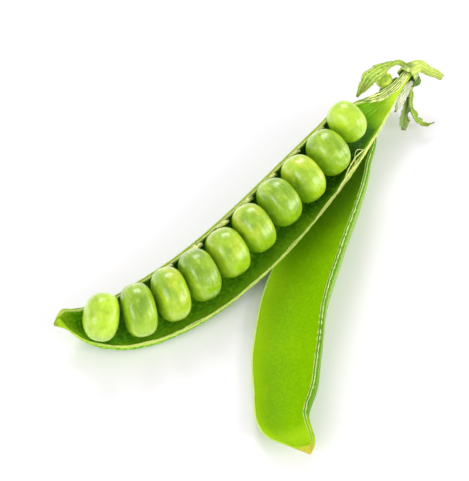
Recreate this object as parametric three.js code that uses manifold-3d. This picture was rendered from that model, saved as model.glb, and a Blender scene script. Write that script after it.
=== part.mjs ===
// An opened pea pod lying on a table: one valve still holding its row of ten peas, the other valve
// swung out from under it, and the calyx and stalk that both valves still hang from.
// Millimetres, +Z up, table at Z = 0, +X from the beaks towards the stalk.
import * as THREE from "three";
import { mergeVertices } from "three/addons/utils/BufferGeometryUtils.js";
import Module from "manifold-3d";

// Driving dimensions.
const POD_WIDTH = 14.6; // between the two margins of the full valve, where it is widest
const WALL = 1; // thickness of a valve
const RIM = 0.7; // torn dorsal edge
const SEAM = 1; // thick ventral seam, which carries the seeds
const DEPTH_RATIO = 0.345; // depth of a valve over its width, up to the pod's own width
const FULLNESS = 0.55; // 0.5 is a half ellipse, 1 is a flat V
const STALK_START_RADIUS = 1.05;
const STALK_END_RADIUS = 0.8;
const BLADE = 0.7; // thickness of a sepal
const CALYX_RADIUS = 2.75;
const CALYX_BORE = 2.05;
const CALYX_DEPTH = 2.4;
const CALYX_TURN = 17; // heading of the calyx's closed end
const CORD_LENGTH = 1.7; // short cords the seeds hung from, on the seam between the peas

// Where the stems of both valves leave the calyx.
const CALYX = new THREE.Vector3(44.06, 23.73, 8.3);

// The two margins of the full valve laid flat: x runs from the calyx to the beak, y towards the dorsal side.
const VENTRAL = [
  [-1, -1],
  [5, -0.2],
  [12, -1],
  [19, -2.5],
  [26, -1.6],
  [38, 0],
  [52, 1.8],
  [66, 2.6],
  [76, 2.1],
  [85, 0.6],
  [90.6, -1.6],
  [92.6, -2.3],
  [93.9, -2.2],
  [95.4, -1.5],
];
const DORSAL = [
  [-1, 0.8],
  [4.5, 2.5],
  [11, 5.4],
  [17.5, 8],
  [25, 10.6],
  [36, 13.5],
  [50, 16.2],
  [64, 16.9],
  [76, 15.6],
  [85, 12.2],
  [90.8, 8],
  [93.3, 5.3],
  [94, 1.8],
  [95.5, -1],
];

// The margins of the empty valve, which has spread out wider since it opened.
const SPREAD_VENTRAL = [
  [-1, -1],
  [5, -0.2],
  [12, -1],
  [19, -2.5],
  [26, -1.9],
  [38, -0.9],
  [52, 0.6],
  [66, 1.6],
  [76, 0.7],
  [84, -0.6],
  [89, -0.8],
  [92, -1.45],
  [94, -2.2],
  [95.4, -1.5],
];
const SPREAD_DORSAL = [
  [-1, 0.8],
  [4.5, 2.5],
  [11, 5.4],
  [17.5, 8],
  [25, 10.6],
  [36, 13.5],
  [50, 16.3],
  [64, 17.5],
  [76, 16.2],
  [85, 12.9],
  [90.8, 10.4],
  [94.3, 8.1],
  [95.2, 3.4],
  [95.5, -1],
];

// How each valve lies. Belly is the height of its lowest line over the table, roll lifts its ventral
// side, sway moves it towards the dorsal side, reach shortens it; all run over the length x.
const FULL_VALVE = {
  ventral: VENTRAL,
  dorsal: DORSAL,
  heading: 180,
  side: 1,
  reach: 1,
  belly: [
    [-1, 8.45], [5, 7.4], [12, 6.05], [25, 4.4], [38, 3.3], [51, 1.85],
    [62, 0.5], [70, -0.1], [77, -0.1], [84, -0.1], [90, 1.2], [96, 5.4],
  ],
  roll: [[-1, 0], [10, 12], [30, 17], [60, 20], [80, 20], [96, 12]],
  sway: [[-1, 0], [22, 0.1], [40, 0.3], [54, 0.2], [70, 0], [96, 0]],
};
const EMPTY_VALVE = {
  ventral: SPREAD_VENTRAL,
  dorsal: SPREAD_DORSAL,
  heading: 214,
  side: -1,
  reach: 0.965,
  belly: [
    [-1, 6.95], [1.5, 6.35], [5, 4.6], [10, 2.3], [17, 0.6],
    [25, -0.1], [40, -0.1], [65, -0.1], [80, -0.1], [89, 0.7], [96, 3],
  ],
  roll: [[-1, 0], [10, 6], [28, 24], [55, 30], [80, 28], [96, 30]],
  sway: [
    [-1, 0], [1.5, 0.2], [5, 1.9], [12, 4.6], [20, 5], [30, 3.2],
    [46, 1.7], [60, 0.8], [72, 0.1], [82, 0.5], [90, 1.2], [96, 0.3],
  ],
};

// The peas from the beak to the stem: place along the pod, length, width across the pod, thickness, how
// far each lies from the middle of the valve towards the ventral seam, and its height over the floor.
const PEAS = [
  { at: 88.5, length: 7.1, width: 9.6, thick: 9.4, aside: 0.6, seat: 2.6 },
  { at: 81.5, length: 6.9, width: 10.5, thick: 10.2, aside: 0.6, seat: 2 },
  { at: 74.3, length: 6.8, width: 10.7, thick: 10.4, aside: 0.8, seat: 1.5 },
  { at: 67.1, length: 7, width: 10.7, thick: 10.5, aside: 0.9, seat: 1.3 },
  { at: 59.4, length: 7.4, width: 10.3, thick: 10.3, aside: 1, seat: 0.9 },
  { at: 51.9, length: 7, width: 10.1, thick: 10, aside: 1.1, seat: 1.1 },
  { at: 44.1, length: 7.5, width: 10, thick: 9.9, aside: 1.1, seat: 1.2 },
  { at: 36.3, length: 7.6, width: 9.8, thick: 9.7, aside: 0.8, seat: 0.9 },
  { at: 28, length: 8, width: 9.4, thick: 9.4, aside: 0.7, seat: 0.95 },
  { at: 20.6, length: 6.9, width: 8.5, thick: 9.2, aside: 1.2, seat: 2.1 },
];
const PEA_TIP = 6; // each pea leans this much further over than the valve under it
const PEA_SLANT = 10; // and its dorsal end is turned this much towards the beak

// Sepals as points from the calyx mouth, and the way each blade's flat face looks.
const SEPALS = [
  {
    width: 2.7,
    widest: 0.6,
    face: [-0.35, -0.3, 0.9],
    path: [
      [0.74, 1.2, 1.9], [-0.2, 2.7, 2.7], [-2.5, 3.1, 3], [-4.7, 3.5, 2.6],
      [-7.5, 3.8, 2], [-10.4, 3.4, 1.3], [-13, 3, 0.7],
    ],
  },
  {
    width: 1.7,
    widest: 0.55,
    face: [0.1, -0.3, 1],
    path: [[0.9, -1.9, -1], [-1, -2.1, -1], [-4, -3.4, -0.9], [-6.7, -4.7, -1.1], [-8.5, -5.5, -1.5]],
  },
  {
    width: 2.5,
    widest: 0.72,
    face: [0.4, -0.6, 0.7],
    path: [[0.7, -0.5, -2.3], [-1.2, -1.9, -3.1], [-3.4, -3.6, -3.9], [-5.8, -5.3, -5], [-7.5, -7, -6]],
  },
  {
    width: 1.8,
    widest: 0.5,
    face: [0.5, -0.5, 0.7],
    path: [
      [0.9, -1.2, -2.1], [-1.2, -2.6, -3.1], [-3.3, -5.3, -4.1],
      [-3.6, -7.6, -5.1], [-2.9, -9.1, -5.7], [-0.8, -9.9, -5.9],
    ],
  },
  {
    width: 2,
    widest: 0.5,
    face: [-0.2, 0.9, -0.4],
    path: [[0.5, 1.5, -1.9], [-2.4, 2.6, -3.2], [-5.4, 3, -4.4]],
  },
];
const STALK = [[3.6, -0.1, 0.85], [4.2, -1, 0.5], [4.7, -1.95, 0], [5.8, -3.15, -0.7], [6.7, -4.4, -1.7]];
const CALYX_SWELLING = { at: [1.3, -1.1, -1.2], size: [3, 3, 3] };
const SMALL_SEED = { at: [-4.5, 2.6, 0.4], size: [2.9, 2.8, 3.2] };

const rad = THREE.MathUtils.degToRad;
const step = THREE.MathUtils.smoothstep;

// A smooth value through a few [position, value] points.
function along(table) {
  const positions = table.map((point) => point[0]);
  const values = table.map((point) => point[1]);
  const curve = new THREE.CubicInterpolant(positions, values, 1);
  return (x) => curve.evaluate(x)[0];
}

function spline(points) {
  const nodes = points.map((p) => new THREE.Vector3(p[0], p[1], p[2] ?? 0));
  return new THREE.CatmullRomCurve3(nodes, false, "centripetal");
}

// A closed body through a list of rings of equal count, with a fan over each end, facing out.
function loft(rings) {
  const count = rings[0].length;
  const positions = rings.flat().flatMap((p) => [p.x, p.y, p.z]);
  const index = [];
  for (let r = 0; r < rings.length - 1; r++) {
    for (let i = 0; i < count; i++) {
      const a = r * count + i;
      const b = r * count + ((i + 1) % count);
      index.push(a, b, b + count, a, b + count, a + count);
    }
  }
  const ends = [[rings[0], 0, true], [rings.at(-1), (rings.length - 1) * count, false]];
  for (const [ring, base, turn] of ends) {
    const middle = ring.reduce((sum, p) => sum.add(p), new THREE.Vector3()).divideScalar(count);
    const centre = positions.length / 3;
    positions.push(middle.x, middle.y, middle.z);
    for (let i = 0; i < count; i++) {
      const a = base + i;
      const b = base + ((i + 1) % count);
      index.push(...(turn ? [b, a, centre] : [a, b, centre]));
    }
  }
  const geometry = new THREE.BufferGeometry();
  geometry.setAttribute("position", new THREE.Float32BufferAttribute(positions, 3));
  geometry.setIndex(index);
  return faceOut(geometry);
}

// Turns every triangle round when the body came out inside out.
function faceOut(geometry) {
  const position = geometry.getAttribute("position");
  const corner = [0, 1, 2].map(() => new THREE.Vector3());
  const index = geometry.getIndex().array;
  let volume = 0;
  for (let i = 0; i < index.length; i += 3) {
    corner.forEach((c, k) => c.fromBufferAttribute(position, index[i + k]));
    volume += corner[0].dot(corner[1].clone().cross(corner[2]));
  }
  if (volume < 0) {
    for (let i = 0; i < index.length; i += 3) {
      [index[i + 1], index[i + 2]] = [index[i + 2], index[i + 1]];
    }
  }
  geometry.computeVertexNormals();
  return geometry;
}

// Depth of a valve's outside below its margins, deeper for its width where it is narrow.
function depthOf(width) {
  const slim = Math.max(0, 1 - width / POD_WIDTH);
  return Math.min(width, POD_WIDTH) * DEPTH_RATIO * (1 + 0.35 * slim * slim);
}

// One cross-section of a valve as [across, down] pairs: outside, dorsal rim, inside, ventral seam.
function valveSection(width) {
  const half = width / 2;
  const edge = Math.min(1, width / 7);
  const depth = depthOf(width);
  const open = step(width, 2.4, 6.5);
  const hollow = open * (depth - WALL) - (1 - open) * 0.2 * width;
  const ring = [];
  for (let i = 0; i <= 12; i++) {
    const a = -Math.cos((Math.PI * i) / 12);
    ring.push([half * a, depth * Math.pow(1 - a * a, FULLNESS)]);
  }
  const rim = RIM * edge;
  const seam = SEAM * edge;
  ring.push([half - 0.15 * rim, -0.2 * edge]);
  ring.push([half - 0.85 * rim, -0.2 * edge]);
  const inner = half - (rim + seam) / 2;
  const middle = (seam - rim) / 2;
  for (let i = 0; i <= 10; i++) {
    const a = Math.cos((Math.PI * i) / 10);
    ring.push([middle + inner * a, hollow * Math.pow(1 - a * a, FULLNESS)]);
  }
  ring.push([-half + 0.95 * seam, -0.5 * seam]);
  ring.push([-half + 0.55 * seam, -0.75 * seam]);
  ring.push([-half + 0.15 * seam, -0.6 * seam]);
  ring.push([-half - 0.05 * seam, -0.2 * seam]);
  return ring;
}

// One station of a valve, t running from the calyx to the beak: its middle, the way across it to the
// dorsal side, the way down out of its open face, its width and its ring of points.
function stationOf(valve) {
  const ventral = spline(valve.ventral);
  const dorsal = spline(valve.dorsal);
  const belly = along(valve.belly);
  const roll = along(valve.roll);
  const sway = along(valve.sway);
  return (t) => {
    const low = ventral.getPoint(t);
    const high = dorsal.getPoint(t);
    const middle = low.clone().add(high).divideScalar(2);
    const flat = high.clone().sub(low);
    const width = flat.length();
    flat.normalize();
    const turn = rad(roll(middle.x));
    const across = flat.clone().multiplyScalar(Math.cos(turn));
    across.z = -Math.sin(turn);
    const down = flat.clone().multiplyScalar(-Math.sin(turn));
    down.z = -Math.cos(turn);
    const floor = belly(middle.x);
    middle.y += sway(middle.x);
    const ring = valveSection(width).map(([s, d]) =>
      middle.clone().addScaledVector(across, s).addScaledVector(down, d));
    const lift = floor - Math.min(...ring.map((p) => p.z));
    middle.z += lift;
    ring.forEach((p) => {
      p.z = Math.max(0, p.z + lift);
    });
    return { middle, across, down, width, ring };
  };
}

function valveGeometry(valve) {
  const station = stationOf(valve);
  const margin = valve.ventral;
  const spans = margin.length - 1;
  const rings = [];
  for (let span = 0; span < spans; span++) {
    const steps = Math.max(3, Math.round((margin[span + 1][0] - margin[span][0]) / 2.4));
    const last = span === spans - 1 ? steps : steps - 1;
    for (let i = 0; i <= last; i++) {
      rings.push(station((span + i / steps) / spans).ring);
    }
  }
  rings.flat().forEach((p) => p.set(p.x * valve.reach, p.y * valve.side, p.z));
  return loft(rings);
}

// A pea: an ellipsoid pressed flat where it meets its neighbours.
function peaGeometry(pea, freeBeakEnd, freeStemEnd) {
  const geometry = new THREE.SphereGeometry(1, 20, 12);
  geometry.deleteAttribute("normal");
  geometry.deleteAttribute("uv");
  const ball = mergeVertices(geometry, 1e-4);
  const position = ball.getAttribute("position");
  const p = new THREE.Vector3();
  for (let i = 0; i < position.count; i++) {
    p.fromBufferAttribute(position, i);
    const free = p.x > 0 ? freeBeakEnd : freeStemEnd;
    const squash = free ? 2 : 2.4;
    const round = Math.hypot(p.y, p.z);
    const size = Math.pow(Math.pow(Math.abs(p.x), squash) + Math.pow(round, squash), -1 / squash);
    p.multiplyScalar(size);
    position.setXYZ(i, (p.x * pea.length) / 2, (p.y * pea.width) / 2, (p.z * pea.thick) / 2);
  }
  ball.computeVertexNormals();
  return ball;
}

// A flat blade along a path, narrow at its foot, widest at one place and pointed at its end.
function bladeGeometry({ width, widest, face, path }) {
  const curve = spline(path);
  const spread = along([[0, 0.4], [widest / 2, 0.7], [widest, 1], [(1 + widest) / 2, 0.75], [1, 0.16]]);
  const rings = [];
  for (let r = 0; r <= 12; r++) {
    const u = r / 12;
    const centre = curve.getPoint(u);
    const tangent = curve.getTangent(u);
    const side = new THREE.Vector3(...face).cross(tangent).normalize();
    const normal = tangent.clone().cross(side);
    const half = (width / 2) * spread(u);
    const thin = BLADE * (1 - 0.3 * u * u);
    const ring = [];
    for (let i = 0; i < 12; i++) {
      const a = (2 * Math.PI * i) / 12;
      const s = Math.cos(a);
      const cup = 0.25 * half * s * s;
      ring.push(centre.clone()
        .addScaledVector(side, Math.max(half, thin / 2) * s)
        .addScaledVector(normal, cup + (thin / 2) * Math.sin(a)));
    }
    rings.push(ring);
  }
  return loft(rings);
}

// A round stem along a path.
function stemGeometry(path, startRadius, endRadius, steps = 10, sides = 12) {
  const curve = spline(path);
  const frames = curve.computeFrenetFrames(steps, false);
  const rings = [];
  for (let r = 0; r <= steps; r++) {
    const centre = curve.getPointAt(r / steps);
    const radius = THREE.MathUtils.lerp(startRadius, endRadius, r / steps);
    const ring = [];
    for (let i = 0; i < sides; i++) {
      const a = (2 * Math.PI * i) / sides;
      ring.push(centre.clone()
        .addScaledVector(frames.normals[r], radius * Math.cos(a))
        .addScaledVector(frames.binormals[r], radius * Math.sin(a)));
    }
    rings.push(ring);
  }
  return loft(rings);
}

// A short cord standing on the ventral seam between two peas.
function cordGeometry(station, x) {
  const { middle, across, down, width } = stationAt(station, x);
  const foot = middle.clone()
    .addScaledVector(across, -width / 2 + 0.5 * SEAM)
    .addScaledVector(down, -0.1 * SEAM);
  const path = [0, 0.6, 1].map((u) => foot.clone()
    .addScaledVector(across, 0.45 * CORD_LENGTH * u * u)
    .addScaledVector(down, -CORD_LENGTH * u)
    .toArray());
  return stemGeometry(path, 0.5, 0.32, 4, 8);
}

const wasm = await Module();
wasm.setup();

function toSolid(geometry) {
  const bare = geometry.clone();
  bare.deleteAttribute("normal");
  bare.deleteAttribute("uv");
  const merged = mergeVertices(bare, 1e-4);
  return new wasm.Manifold(new wasm.Mesh({
    numProp: 3,
    vertProperties: merged.getAttribute("position").array,
    triVerts: new Uint32Array(merged.getIndex().array),
  }));
}

// Grown-together bodies as one, less whatever has to be hollow.
function fuse(geometries, hollows = []) {
  const [first, ...others] = geometries.map(toSolid);
  const whole = others.reduce((sum, solid) => sum.add(solid), first);
  const left = hollows.map(toSolid).reduce((rest, solid) => rest.subtract(solid), whole).getMesh();
  const geometry = new THREE.BufferGeometry();
  geometry.setAttribute("position", new THREE.Float32BufferAttribute(left.vertProperties, 3));
  geometry.setIndex([...left.triVerts]);
  geometry.computeVertexNormals();
  return geometry;
}

const pod = new THREE.Group();
pod.name = "pea_pod";

function addPiece(name, geometry, colour, roughness, parent = pod) {
  const material = new THREE.MeshStandardMaterial({ color: colour, roughness, metalness: 0 });
  material.name = name;
  const mesh = new THREE.Mesh(geometry, material);
  mesh.name = name;
  parent.add(mesh);
  return mesh;
}

function valveGroup(name, valve) {
  const group = new THREE.Group();
  group.name = name;
  group.position.set(CALYX.x, CALYX.y, 0);
  group.rotation.z = rad(valve.heading);
  pod.add(group);
  return group;
}

// The station whose middle lies at x.
function stationAt(station, x) {
  let low = 0;
  let high = 1;
  while (high - low > 1e-6) {
    const t = (low + high) / 2;
    if (station(t).middle.x < x) {
      low = t;
    } else {
      high = t;
    }
  }
  return station(low);
}

// Puts a pea over the valve's floor, its flat ends towards its neighbours.
function placePea(station, pea) {
  const place = stationAt(station, pea.at);
  const ahead = stationAt(station, pea.at + 2).middle;
  const forward = ahead.sub(stationAt(station, pea.at - 2).middle).normalize();
  const height = pea.thick / 2 + pea.seat + WALL - depthOf(place.width);
  const centre = place.middle.clone()
    .addScaledVector(place.across, -pea.aside)
    .addScaledVector(place.down, -height);
  const across = place.across.clone().applyAxisAngle(forward, -rad(PEA_TIP));
  across.addScaledVector(forward, -across.dot(forward)).normalize();
  const up = forward.clone().cross(across);
  forward.applyAxisAngle(up, -rad(PEA_SLANT));
  across.applyAxisAngle(up, -rad(PEA_SLANT));
  return new THREE.Matrix4().makeBasis(forward, across, up).setPosition(centre);
}

// The full valve and the peas on it.
const full = valveGroup("full_half", FULL_VALVE);
const station = stationOf(FULL_VALVE);
PEAS.forEach((pea, i) => {
  const number = String(i + 1).padStart(2, "0");
  const shape = peaGeometry(pea, i === 0, i === PEAS.length - 1);
  const mesh = addPiece(`pea_${number}`, shape, "#a9cf45", 0.38, full);
  mesh.applyMatrix4(placePea(station, pea));
});
const cords = PEAS.slice(2).map((pea, i) => cordGeometry(station, (pea.at + PEAS[i + 1].at) / 2));
addPiece("valve_with_peas", fuse([valveGeometry(FULL_VALVE), ...cords]), "#6fb31f", 0.42, full);

const empty = valveGroup("empty_half", EMPTY_VALVE);
addPiece("valve_empty", valveGeometry(EMPTY_VALVE), "#7fc11c", 0.42, empty);

// The calyx: a cup with five sepals grown on its rim, swollen on its underside.
const profile = [
  [0, -CALYX_DEPTH],
  [1.2, -CALYX_DEPTH + 0.2],
  [2.2, -CALYX_DEPTH + 0.9],
  [CALYX_RADIUS, -0.6],
  [CALYX_RADIUS - 0.1, 0.1],
  [0, 0.1],
].map(([x, y]) => new THREE.Vector2(x, y));
const cup = new THREE.LatheGeometry(profile, 24);
const bore = new THREE.CylinderGeometry(CALYX_BORE, CALYX_BORE * 0.8, 2.7, 20);
bore.translate(0, -1.7 + 1.35, 0);
for (const turned of [cup, bore]) {
  turned.rotateZ(Math.PI / 2);
  turned.rotateZ(rad(CALYX_TURN));
}
const swelling = new THREE.SphereGeometry(0.5, 16, 10);
swelling.scale(...CALYX_SWELLING.size);
swelling.translate(...CALYX_SWELLING.at);
const sepals = SEPALS.map(bladeGeometry);
const calyx = addPiece("calyx", fuse([cup, swelling, ...sepals], [bore]), "#8fb23a", 0.6);
calyx.position.copy(CALYX);

const stem = stemGeometry(STALK, STALK_START_RADIUS, STALK_END_RADIUS);
const stalk = addPiece("pedicel", stem, "#b5c95a", 0.6);
stalk.position.copy(CALYX);

const seed = new THREE.SphereGeometry(0.5, 12, 8);
seed.scale(...SMALL_SEED.size);
const small = addPiece("undeveloped_seed", seed, "#b6c84a", 0.5);
small.position.copy(CALYX).add(new THREE.Vector3(...SMALL_SEED.at));

export default pod;
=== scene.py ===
"""An opened pea pod: a valve with its row of ten peas, the empty valve swung out from under it,
and the flower calyx and stalk that hold both. Shapes are worked out in millimetres."""

import random
from math import atan2, cos, exp, hypot, pi, radians, sin

import bmesh
import bpy
from mathutils import Matrix, Vector, noise


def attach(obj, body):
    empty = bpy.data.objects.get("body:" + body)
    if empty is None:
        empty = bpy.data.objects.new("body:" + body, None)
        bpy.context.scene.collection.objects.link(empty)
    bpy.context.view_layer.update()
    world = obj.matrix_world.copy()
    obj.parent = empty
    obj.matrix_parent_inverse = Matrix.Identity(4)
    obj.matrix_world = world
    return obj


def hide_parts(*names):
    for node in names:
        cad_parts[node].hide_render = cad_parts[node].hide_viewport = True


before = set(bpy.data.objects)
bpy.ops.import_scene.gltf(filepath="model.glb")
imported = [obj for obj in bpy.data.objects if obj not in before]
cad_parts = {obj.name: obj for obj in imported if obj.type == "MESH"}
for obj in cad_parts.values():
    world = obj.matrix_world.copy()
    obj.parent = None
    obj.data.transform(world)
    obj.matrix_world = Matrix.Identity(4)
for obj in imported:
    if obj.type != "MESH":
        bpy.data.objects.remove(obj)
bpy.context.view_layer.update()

MM = 0.001

# Pod measures, in millimetres.
POD_WIDTH = 14.6
WALL = 1
RIM = 0.7
SEAM = 1
NARROW = 7  # below this width the rim and the seam grow slimmer with the valve
DEPTH_RATIO = 0.345
FULLNESS = 0.55
CALYX = Vector((44.06, 23.73, 8.3))
CALYX_TURN = 17
SEPAL_THICKNESS = 0.7

# How finely each valve is made, along it and round it.
VALVE_ROWS = 320
VALVE_POINTS = 140

VENTRAL = [
    (-1, -1), (5, -0.2), (12, -1), (19, -2.5), (26, -1.6), (38, 0), (52, 1.8),
    (66, 2.6), (76, 2.1), (85, 0.6), (90.6, -1.6), (92.6, -2.3), (93.9, -2.2), (95.4, -1.5),
]
DORSAL = [
    (-1, 0.8), (4.5, 2.5), (11, 5.4), (17.5, 8), (25, 10.6), (36, 13.5), (50, 16.2),
    (64, 16.9), (76, 15.6), (85, 12.2), (90.8, 8), (93.3, 5.3), (94, 1.8), (95.5, -1),
]

# The margins of the empty valve, which has spread out wider since it opened.
SPREAD_VENTRAL = [
    (-1, -1), (5, -0.2), (12, -1), (19, -2.5), (26, -1.9), (38, -0.9), (52, 0.6),
    (66, 1.6), (76, 0.7), (84, -0.6), (89, -0.8), (92, -1.45), (94, -2.2), (95.4, -1.5),
]
SPREAD_DORSAL = [
    (-1, 0.8), (4.5, 2.5), (11, 5.4), (17.5, 8), (25, 10.6), (36, 13.5), (50, 16.3),
    (64, 17.5), (76, 16.2), (85, 12.9), (90.8, 10.4), (94.3, 8.1), (95.2, 3.4), (95.5, -1),
]

# How each valve lies, over its length from the calyx to the beak.
FULL_VALVE = {
    "ventral": VENTRAL, "dorsal": DORSAL, "heading": 180, "side": 1, "reach": 0.9999,
    "belly": [
        (-1, 8.45), (5, 7.4), (12, 6.05), (25, 4.4), (38, 3.3), (51, 1.85),
        (62, 0.5), (70, -0.1), (77, -0.1), (84, -0.1), (90, 1.2), (96, 5.4),
    ],
    "roll": [(-1, 0), (10, 12), (30, 17), (60, 20), (80, 20), (96, 12)],
    "sway": [(-1, 0), (22, 0.1), (40, 0.3), (54, 0.2), (70, 0), (96, 0)],
}
EMPTY_VALVE = {
    "ventral": SPREAD_VENTRAL, "dorsal": SPREAD_DORSAL, "heading": 214, "side": -1, "reach": 0.9635,
    "belly": [
        (-1, 6.95), (1.5, 6.35), (5, 4.6), (10, 2.3), (17, 0.6), (25, -0.1),
        (40, -0.1), (65, -0.1), (80, -0.1), (89, 0.7), (96, 3),
    ],
    "roll": [(-1, 0), (10, 6), (28, 24), (55, 30), (80, 28), (96, 30)],
    "sway": [
        (-1, 0), (1.5, 0.2), (5, 1.9), (12, 4.6), (20, 5), (30, 3.2),
        (46, 1.7), (60, 0.8), (72, 0.1), (82, 0.5), (90, 1.2), (96, 0.3),
    ],
}

# Share of the way round a valve's section where each tissue ends: outside, torn rim, inside, seam.
OUTSIDE_END = 0.42
RIM_END = 0.5
INSIDE_END = 0.88

# Peas from the beak to the stem: place along the pod, length, width across it, thickness, distance
# from the middle of the valve towards the seam, height over the floor of the valve, and tone.
PEAS = [
    (88.5, 7.1, 9.6, 9.4, 0.6, 2.6, 0.8),
    (81.5, 6.7, 10.8, 10.2, 0.5, 2, 0.25),
    (74.3, 6.7, 11, 10.4, 0.7, 1.5, 0.45),
    (67.1, 7, 10.7, 10.5, 0.9, 1.3, 0.18),
    (59.4, 7.4, 10.3, 10.3, 1, 0.9, 0.38),
    (51.9, 6.9, 10.4, 10, 1.1, 1.1, 0.4),
    (44.2, 7.2, 10.3, 9.9, 1.1, 1.2, 0.22),
    (36.6, 7.1, 10.3, 9.7, 0.7, 0.9, 0.45),
    (28.4, 7.4, 9.9, 9.4, 0.45, 0.95, 0.25),
    (20.9, 6.5, 9.1, 9.2, 1.35, 2.1, 0.75),
]
PEA_TIP = 6
PEA_SLANT = 10
# How square a pea is: round its girth, at a free end, and at an end that its neighbour presses.
GIRTH_POWER = 2.25
FREE_POWER = 2.15
PRESSED_POWER = 2.9
LAST_PEA_HEIGHT = 0.966  # the pea by the stem is a little flatter

# The web of cord tissue left between two peas: its length, and its size after each pea from the beak.
FUNICLE_LENGTH = 2.5
FUNICLE_SIZES = (0, 0.55, 0.9, 1.1, 1, 0.85, 0.7, 0.6, 0.5)

# The seam's split strands: where they start and end along the pod, the gap between two, and the tint
# of each, from 0, dry and pale, to 1, fresh green.
STRAND_START = -0.7
STRAND_END = 14.2
STRAND_GAP = 0.27
STRAND_TINTS = (0.0, 0.95, 0.0, 0.85, 0.0, 1.0, 0.05, 0.9, 0.0, 0.85, 0.1)

# Fibres torn loose along the rim: start and end along the pod, how far each bows inwards and how far
# it lifts, its thickness and its tint.
FIBRES = [
    (19.5, 30.5, 1.15, 0.55, 0.26, 0.1), (20.8, 25.2, 1.75, 0.9, 0.16, 0.2),
    (24, 33, 0.35, 0.45, 0.34, 0.05), (17, 24, 0.15, 0.35, 0.3, 0.2),
    (31, 41, 0.25, 0.25, 0.2, 0.1), (44, 51, 0.3, 0.2, 0.15, 0.2),
    (55, 64, 0.2, 0.25, 0.18, 0.1), (70, 77, 0.3, 0.2, 0.16, 0.3), (80, 86, 0.25, 0.2, 0.16, 0.2),
]

# Half a section of the calyx cup's wall: along its axis, and out from it.
CUP_OUTLINE = [
    (2.4, 0), (2.38, 0.6), (2.28, 1.2), (2.02, 1.7), (1.6, 2.06), (1.1, 2.28), (0.6, 2.36),
    (0.2, 2.32), (-0.15, 2.2), (-0.25, 2.1), (-0.15, 2.02), (0.2, 1.96), (0.6, 1.88),
    (1.1, 1.74), (1.5, 1.55), (1.66, 1.2), (1.7, 0),
]

# Each sepal: its width, where it is widest, how slim it is before that, how blunt its tip is, the way
# it faces, and its midrib.
SEPALS = [
    (3.3, 0.62, 0.42, 0.2, (-0.35, -0.3, 0.9), [
        (0.74, 1.2, 1.9), (-0.2, 2.6, 2.4), (-2.4, 3.05, 3), (-4.9, 3.22, 3.2),
        (-7.6, 3.3, 3), (-10.3, 2.85, 2.2), (-12.6, 2.4, 0.9)]),
    (1.8, 0.5, 0.8, 0.25, (0.1, -0.3, 1), [
        (0.4, -1.6, -0.6), (-1.2, -1.8, -0.6), (-3.9, -3, -0.7), (-6.3, -4.05, -0.9), (-8, -4.8, -1.2)]),
    (2.8, 0.76, 0.6, 0.6, (0.4, -0.6, 0.7), [
        (0.7, -0.5, -2.3), (-1.2, -1.9, -3.1), (-3.4, -3.6, -3.9), (-5.8, -5.3, -5), (-7.3, -6.8, -6)]),
    (1.9, 0.5, 0.7, 0.1, (0.5, -0.5, 0.7), [
        (0.9, -1.2, -2.1), (-1.2, -2.6, -3.1), (-3.3, -5.3, -4.1),
        (-3.6, -7.6, -5.1), (-2.9, -9.1, -5.7), (-0.8, -9.9, -5.9)]),
    (2, 0.5, 0.7, 0.1, (-0.2, 0.9, -0.4), [(0.5, 1.5, -1.9), (-2.4, 2.6, -3.2), (-5.4, 3, -4.4)]),
]
# How pale, how dark green and how dry each sepal is.
SEPAL_MARKS = [(0.05, 0.1, 1), (1, 0, 0), (0.12, 0.7, 0.2), (0.02, 0.05, 0.6), (0.1, 0.8, 0.2)]

# Which sepals are hairy, and how many hairs each has. One is hairy all over, the others at their edges.
HAIRS = ((1, 60), (3, 50), (4, 110))
HAIRY_ALL_OVER = 4
HAIR_REACH = 28.5  # a hair that would stand out beyond this leans back

STALK = [
    (0.9, 0.35, 0.75), (2.2, 0.2, 0.95), (3.6, -0.1, 0.85), (4.2, -1, 0.5),
    (4.7, -1.95, 0), (5.8, -3.15, -0.7), (6.7, -4.4, -1.7),
]

# The camera: what it looks at in millimetres, its angles in degrees, its distance in metres, its lens.
VIEW_TARGET = Vector((-8.58, 19.93, 0))
VIEW_TURN = -41
VIEW_HEIGHT = 55
VIEW_DISTANCE = 0.37
VIEW_LENS = 133.3

# Each lamp: metres to the right, away and up as the camera sees the pod, its size and its power.
LAMPS = {
    "back_box": (-0.1, 0.6, 0.55, 0.3, 2.4),
    "left_box": (-0.6, -0.42, 0.4, 0.4, 2.4),
    "right_box": (0.65, -0.3, 0.38, 0.38, 2.8),
    "low_box": (0.75, 0.15, 0.13, 0.3, 1.4),
}
LAMP_TARGET = Vector((-0.0086, 0.015, 0.0))
RIGHTWARDS = Vector((0.755, -0.656, 0))
AWAY = Vector((0.656, 0.755, 0))


# ---- Smooth runs through the measures ----

class Run:
    """A smooth path through points."""

    def __init__(self, points):
        self.points = [Vector((*point, 0)[:3]) for point in points]

    def at(self, t):
        points = self.points
        last = len(points) - 1
        place = min(max(t, 0), 1) * last
        k = min(int(place), last - 1)
        here, ahead = points[k], points[k + 1]
        before = points[k - 1] if k > 0 else here * 2 - ahead
        beyond = points[k + 2] if k + 2 <= last else ahead * 2 - here
        gap = (ahead - here).length ** 0.5
        gap_in = (here - before).length ** 0.5
        gap_out = (beyond - ahead).length ** 0.5
        leave = ((here - before) / gap_in - (ahead - before) / (gap_in + gap) + (ahead - here) / gap) * gap
        arrive = ((ahead - here) / gap - (beyond - here) / (gap + gap_out) + (beyond - ahead) / gap_out) * gap
        w = place - k
        return (here + leave * w + (3 * (ahead - here) - 2 * leave - arrive) * w ** 2
                + (2 * (here - ahead) + leave + arrive) * w ** 3)

    def direction(self, t):
        return (self.at(min(t + 1e-3, 1)) - self.at(max(t - 1e-3, 0))).normalized()


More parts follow.
